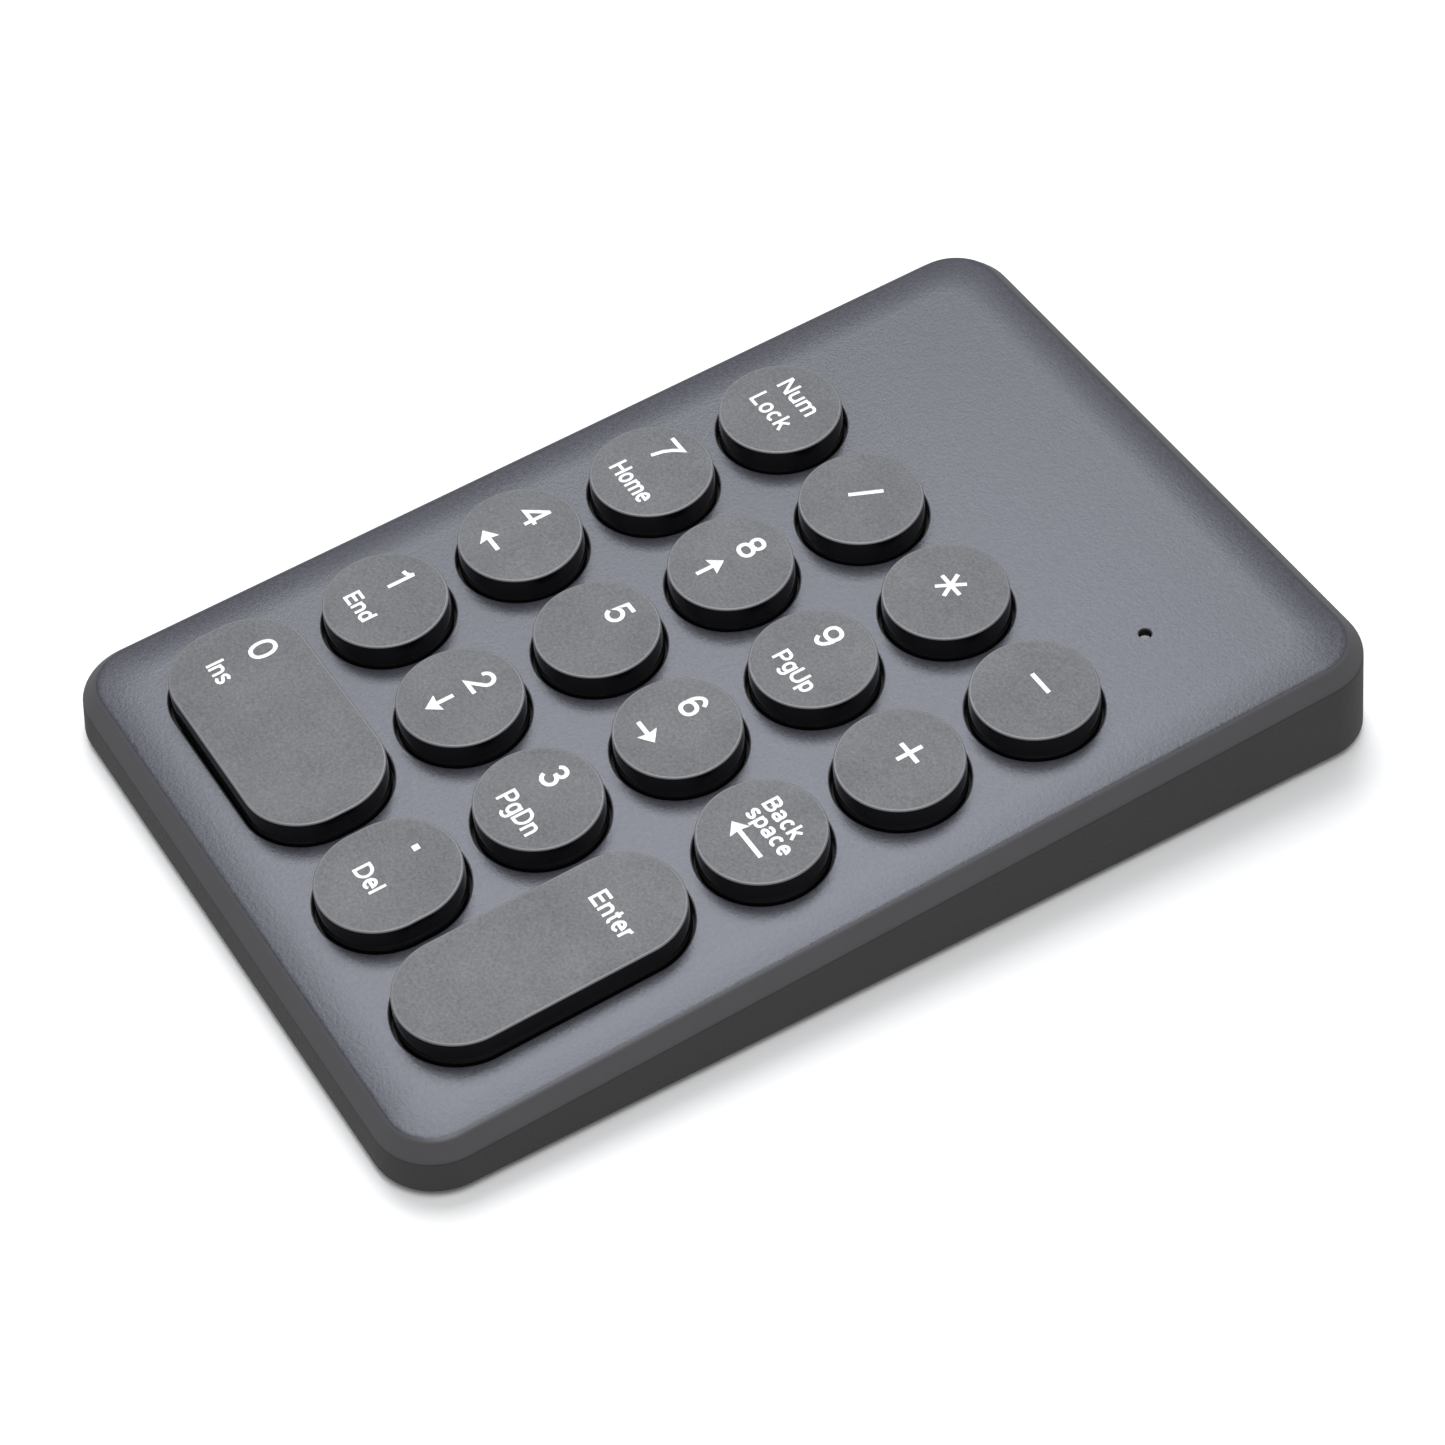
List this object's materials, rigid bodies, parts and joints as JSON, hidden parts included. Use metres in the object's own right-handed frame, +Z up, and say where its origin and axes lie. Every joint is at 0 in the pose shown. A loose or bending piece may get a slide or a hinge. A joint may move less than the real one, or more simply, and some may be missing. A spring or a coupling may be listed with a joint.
{
  "type": "numeric keypad",
  "caption": "Wireless numeric keypad: round flat-topped keys standing out of a wedge-shaped grey case, with a wide zero, a tall enter key and a lamp above the keys",
  "frame": {"origin": "on the table, under the middle of the case", "axes": "+X to the user's right, +Y away from the user, +Z up; the keys' deck slopes up towards +Y by 3.5 degrees"},
  "size_m": [0.0906, 0.1366, 0.0177],
  "materials": {
    "case_grey": "satin, bluish dark grey, fine texture",
    "key_grey": "matte grey top, glossy black side, white legend",
    "black_plastic": "fine moulded texture, black",
    "silicone": "translucent milky silicone",
    "clear_film": "clear polyester film with printed tracks",
    "steel": "plain steel",
    "board_green": "green solder mask",
    "rubber": "matte black rubber",
    "smoke": "smoked clear plastic",
    "cell_jacket": "printed jacket, plain"
  },
  "bodies": {
    "case": {"top_cover": "case_grey", "bottom_cover": "black_plastic", "key_guide_frame": "black_plastic", "dome_sheet": "silicone", "membrane_top_film": "clear_film", "membrane_spacer_film": "clear_film", "membrane_bottom_film": "clear_film", "support_plate": "steel", "circuit_board": "board_green", "controller_chip": "black_plastic", "crystal_can": "steel", "status_led": "clear_film", "tail_clamp_bar": "black_plastic", "light_pipe": "smoke", "power_switch_body": "steel", "battery": "cell_jacket", "battery_spring": "steel", "battery_contact": "steel", "foot_front_left": "rubber", "foot_front_right": "rubber", "foot_rear_left": "rubber", "foot_rear_right": "rubber", "board_screw_left": "steel", "board_screw_right": "steel", "case_screw_front_left": "steel", "case_screw_front_right": "steel", "case_screw_middle_left": "steel", "case_screw_middle_right": "steel", "case_screw_rear_left": "steel", "case_screw_rear_right": "steel"},
    "key_num_lock": {"key_num_lock": "key_grey"},
    "key_divide": {"key_divide": "key_grey"},
    "key_multiply": {"key_multiply": "key_grey"},
    "key_minus": {"key_minus": "key_grey"},
    "key_7": {"key_7": "key_grey"},
    "key_8": {"key_8": "key_grey"},
    "key_9": {"key_9": "key_grey"},
    "key_plus": {"key_plus": "key_grey"},
    "key_4": {"key_4": "key_grey"},
    "key_5": {"key_5": "key_grey"},
    "key_6": {"key_6": "key_grey"},
    "key_backspace": {"key_backspace": "key_grey"},
    "key_1": {"key_1": "key_grey"},
    "key_2": {"key_2": "key_grey"},
    "key_3": {"key_3": "key_grey"},
    "key_0": {"key_0": "key_grey"},
    "key_decimal": {"key_decimal": "key_grey"},
    "key_enter": {"key_enter": "key_grey"},
    "stabiliser_wire_0": {"stabiliser_wire_0": "steel"},
    "stabiliser_wire_enter": {"stabiliser_wire_enter": "steel"},
    "power_switch_knob": {"power_switch_knob": "rubber"},
    "battery_door": {"battery_door": "black_plastic"},
    "receiver": {"receiver_head": "black_plastic", "receiver_plug": "steel"}
  },
  "joints": [
    {"name": "key_num_lock_travel", "type": "slide", "parent": "case", "child": "key_num_lock", "axis": [0, 0.061, -0.9981], "range_m": [0, 0.002], "stiffness_N_per_m": 180, "springref_m": -0.001, "deforming": ["dome_sheet"]},
    {"name": "key_divide_travel", "type": "slide", "parent": "case", "child": "key_divide", "axis": [0, 0.061, -0.9981], "range_m": [0, 0.002], "stiffness_N_per_m": 180, "springref_m": -0.001, "deforming": ["dome_sheet"]},
    {"name": "key_multiply_travel", "type": "slide", "parent": "case", "child": "key_multiply", "axis": [0, 0.061, -0.9981], "range_m": [0, 0.002], "stiffness_N_per_m": 180, "springref_m": -0.001, "deforming": ["dome_sheet"]},
    {"name": "key_minus_travel", "type": "slide", "parent": "case", "child": "key_minus", "axis": [0, 0.061, -0.9981], "range_m": [0, 0.002], "stiffness_N_per_m": 180, "springref_m": -0.001, "deforming": ["dome_sheet"]},
    {"name": "key_7_travel", "type": "slide", "parent": "case", "child": "key_7", "axis": [0, 0.061, -0.9981], "range_m": [0, 0.002], "stiffness_N_per_m": 180, "springref_m": -0.001, "deforming": ["dome_sheet"]},
    {"name": "key_8_travel", "type": "slide", "parent": "case", "child": "key_8", "axis": [0, 0.061, -0.9981], "range_m": [0, 0.002], "stiffness_N_per_m": 180, "springref_m": -0.001, "deforming": ["dome_sheet"]},
    {"name": "key_9_travel", "type": "slide", "parent": "case", "child": "key_9", "axis": [0, 0.061, -0.9981], "range_m": [0, 0.002], "stiffness_N_per_m": 180, "springref_m": -0.001, "deforming": ["dome_sheet"]},
    {"name": "key_plus_travel", "type": "slide", "parent": "case", "child": "key_plus", "axis": [0, 0.061, -0.9981], "range_m": [0, 0.002], "stiffness_N_per_m": 180, "springref_m": -0.001, "deforming": ["dome_sheet"]},
    {"name": "key_4_travel", "type": "slide", "parent": "case", "child": "key_4", "axis": [0, 0.061, -0.9981], "range_m": [0, 0.002], "stiffness_N_per_m": 180, "springref_m": -0.001, "deforming": ["dome_sheet"]},
    {"name": "key_5_travel", "type": "slide", "parent": "case", "child": "key_5", "axis": [0, 0.061, -0.9981], "range_m": [0, 0.002], "stiffness_N_per_m": 180, "springref_m": -0.001, "deforming": ["dome_sheet"]},
    {"name": "key_6_travel", "type": "slide", "parent": "case", "child": "key_6", "axis": [0, 0.061, -0.9981], "range_m": [0, 0.002], "stiffness_N_per_m": 180, "springref_m": -0.001, "deforming": ["dome_sheet"]},
    {"name": "key_backspace_travel", "type": "slide", "parent": "case", "child": "key_backspace", "axis": [0, 0.061, -0.9981], "range_m": [0, 0.002], "stiffness_N_per_m": 180, "springref_m": -0.001, "deforming": ["dome_sheet"]},
    {"name": "key_1_travel", "type": "slide", "parent": "case", "child": "key_1", "axis": [0, 0.061, -0.9981], "range_m": [0, 0.002], "stiffness_N_per_m": 180, "springref_m": -0.001, "deforming": ["dome_sheet"]},
    {"name": "key_2_travel", "type": "slide", "parent": "case", "child": "key_2", "axis": [0, 0.061, -0.9981], "range_m": [0, 0.002], "stiffness_N_per_m": 180, "springref_m": -0.001, "deforming": ["dome_sheet"]},
    {"name": "key_3_travel", "type": "slide", "parent": "case", "child": "key_3", "axis": [0, 0.061, -0.9981], "range_m": [0, 0.002], "stiffness_N_per_m": 180, "springref_m": -0.001, "deforming": ["dome_sheet"]},
    {"name": "key_0_travel", "type": "slide", "parent": "case", "child": "key_0", "axis": [0, 0.061, -0.9981], "range_m": [0, 0.002], "stiffness_N_per_m": 180, "springref_m": -0.001, "deforming": ["dome_sheet"]},
    {"name": "key_decimal_travel", "type": "slide", "parent": "case", "child": "key_decimal", "axis": [0, 0.061, -0.9981], "range_m": [0, 0.002], "stiffness_N_per_m": 180, "springref_m": -0.001, "deforming": ["dome_sheet"]},
    {"name": "key_enter_travel", "type": "slide", "parent": "case", "child": "key_enter", "axis": [0, 0.061, -0.9981], "range_m": [0, 0.002], "stiffness_N_per_m": 180, "springref_m": -0.001, "deforming": ["dome_sheet"]},
    {"name": "stabiliser_wire_0_swing", "type": "hinge", "parent": "case", "child": "stabiliser_wire_0", "pos_m": [-0.01905, -0.05157, 0.00658], "axis": [-1, 0, 0], "range_deg": [0, 16.18]},
    {"name": "stabiliser_wire_enter_swing", "type": "hinge", "parent": "case", "child": "stabiliser_wire_enter", "pos_m": [0.02967, -0.04103, 0.00722], "axis": [0, -0.9981, -0.061], "range_deg": [0, 16.18]},
    {"name": "power_switch_slide", "type": "slide", "parent": "case", "child": "power_switch_knob", "axis": [1, 0, 0], "range_m": [0, 0.0028]},
    {"name": "battery_door_swing", "type": "hinge", "parent": "case", "child": "battery_door", "pos_m": [-0.015, 0.04685, 0.001], "axis": [-1, 0, 0], "range_deg": [0, 70]},
    {"name": "receiver_pull", "type": "slide", "parent": "case", "child": "receiver", "axis": [0, 1, 0], "range_m": [0, 0.025]}
  ],
  "couplings": [
    {"joint": "stabiliser_wire_0_swing", "follows": "key_0_travel", "rad_per_m": 140.8},
    {"joint": "stabiliser_wire_enter_swing", "follows": "key_enter_travel", "rad_per_m": 140.8}
  ]
}
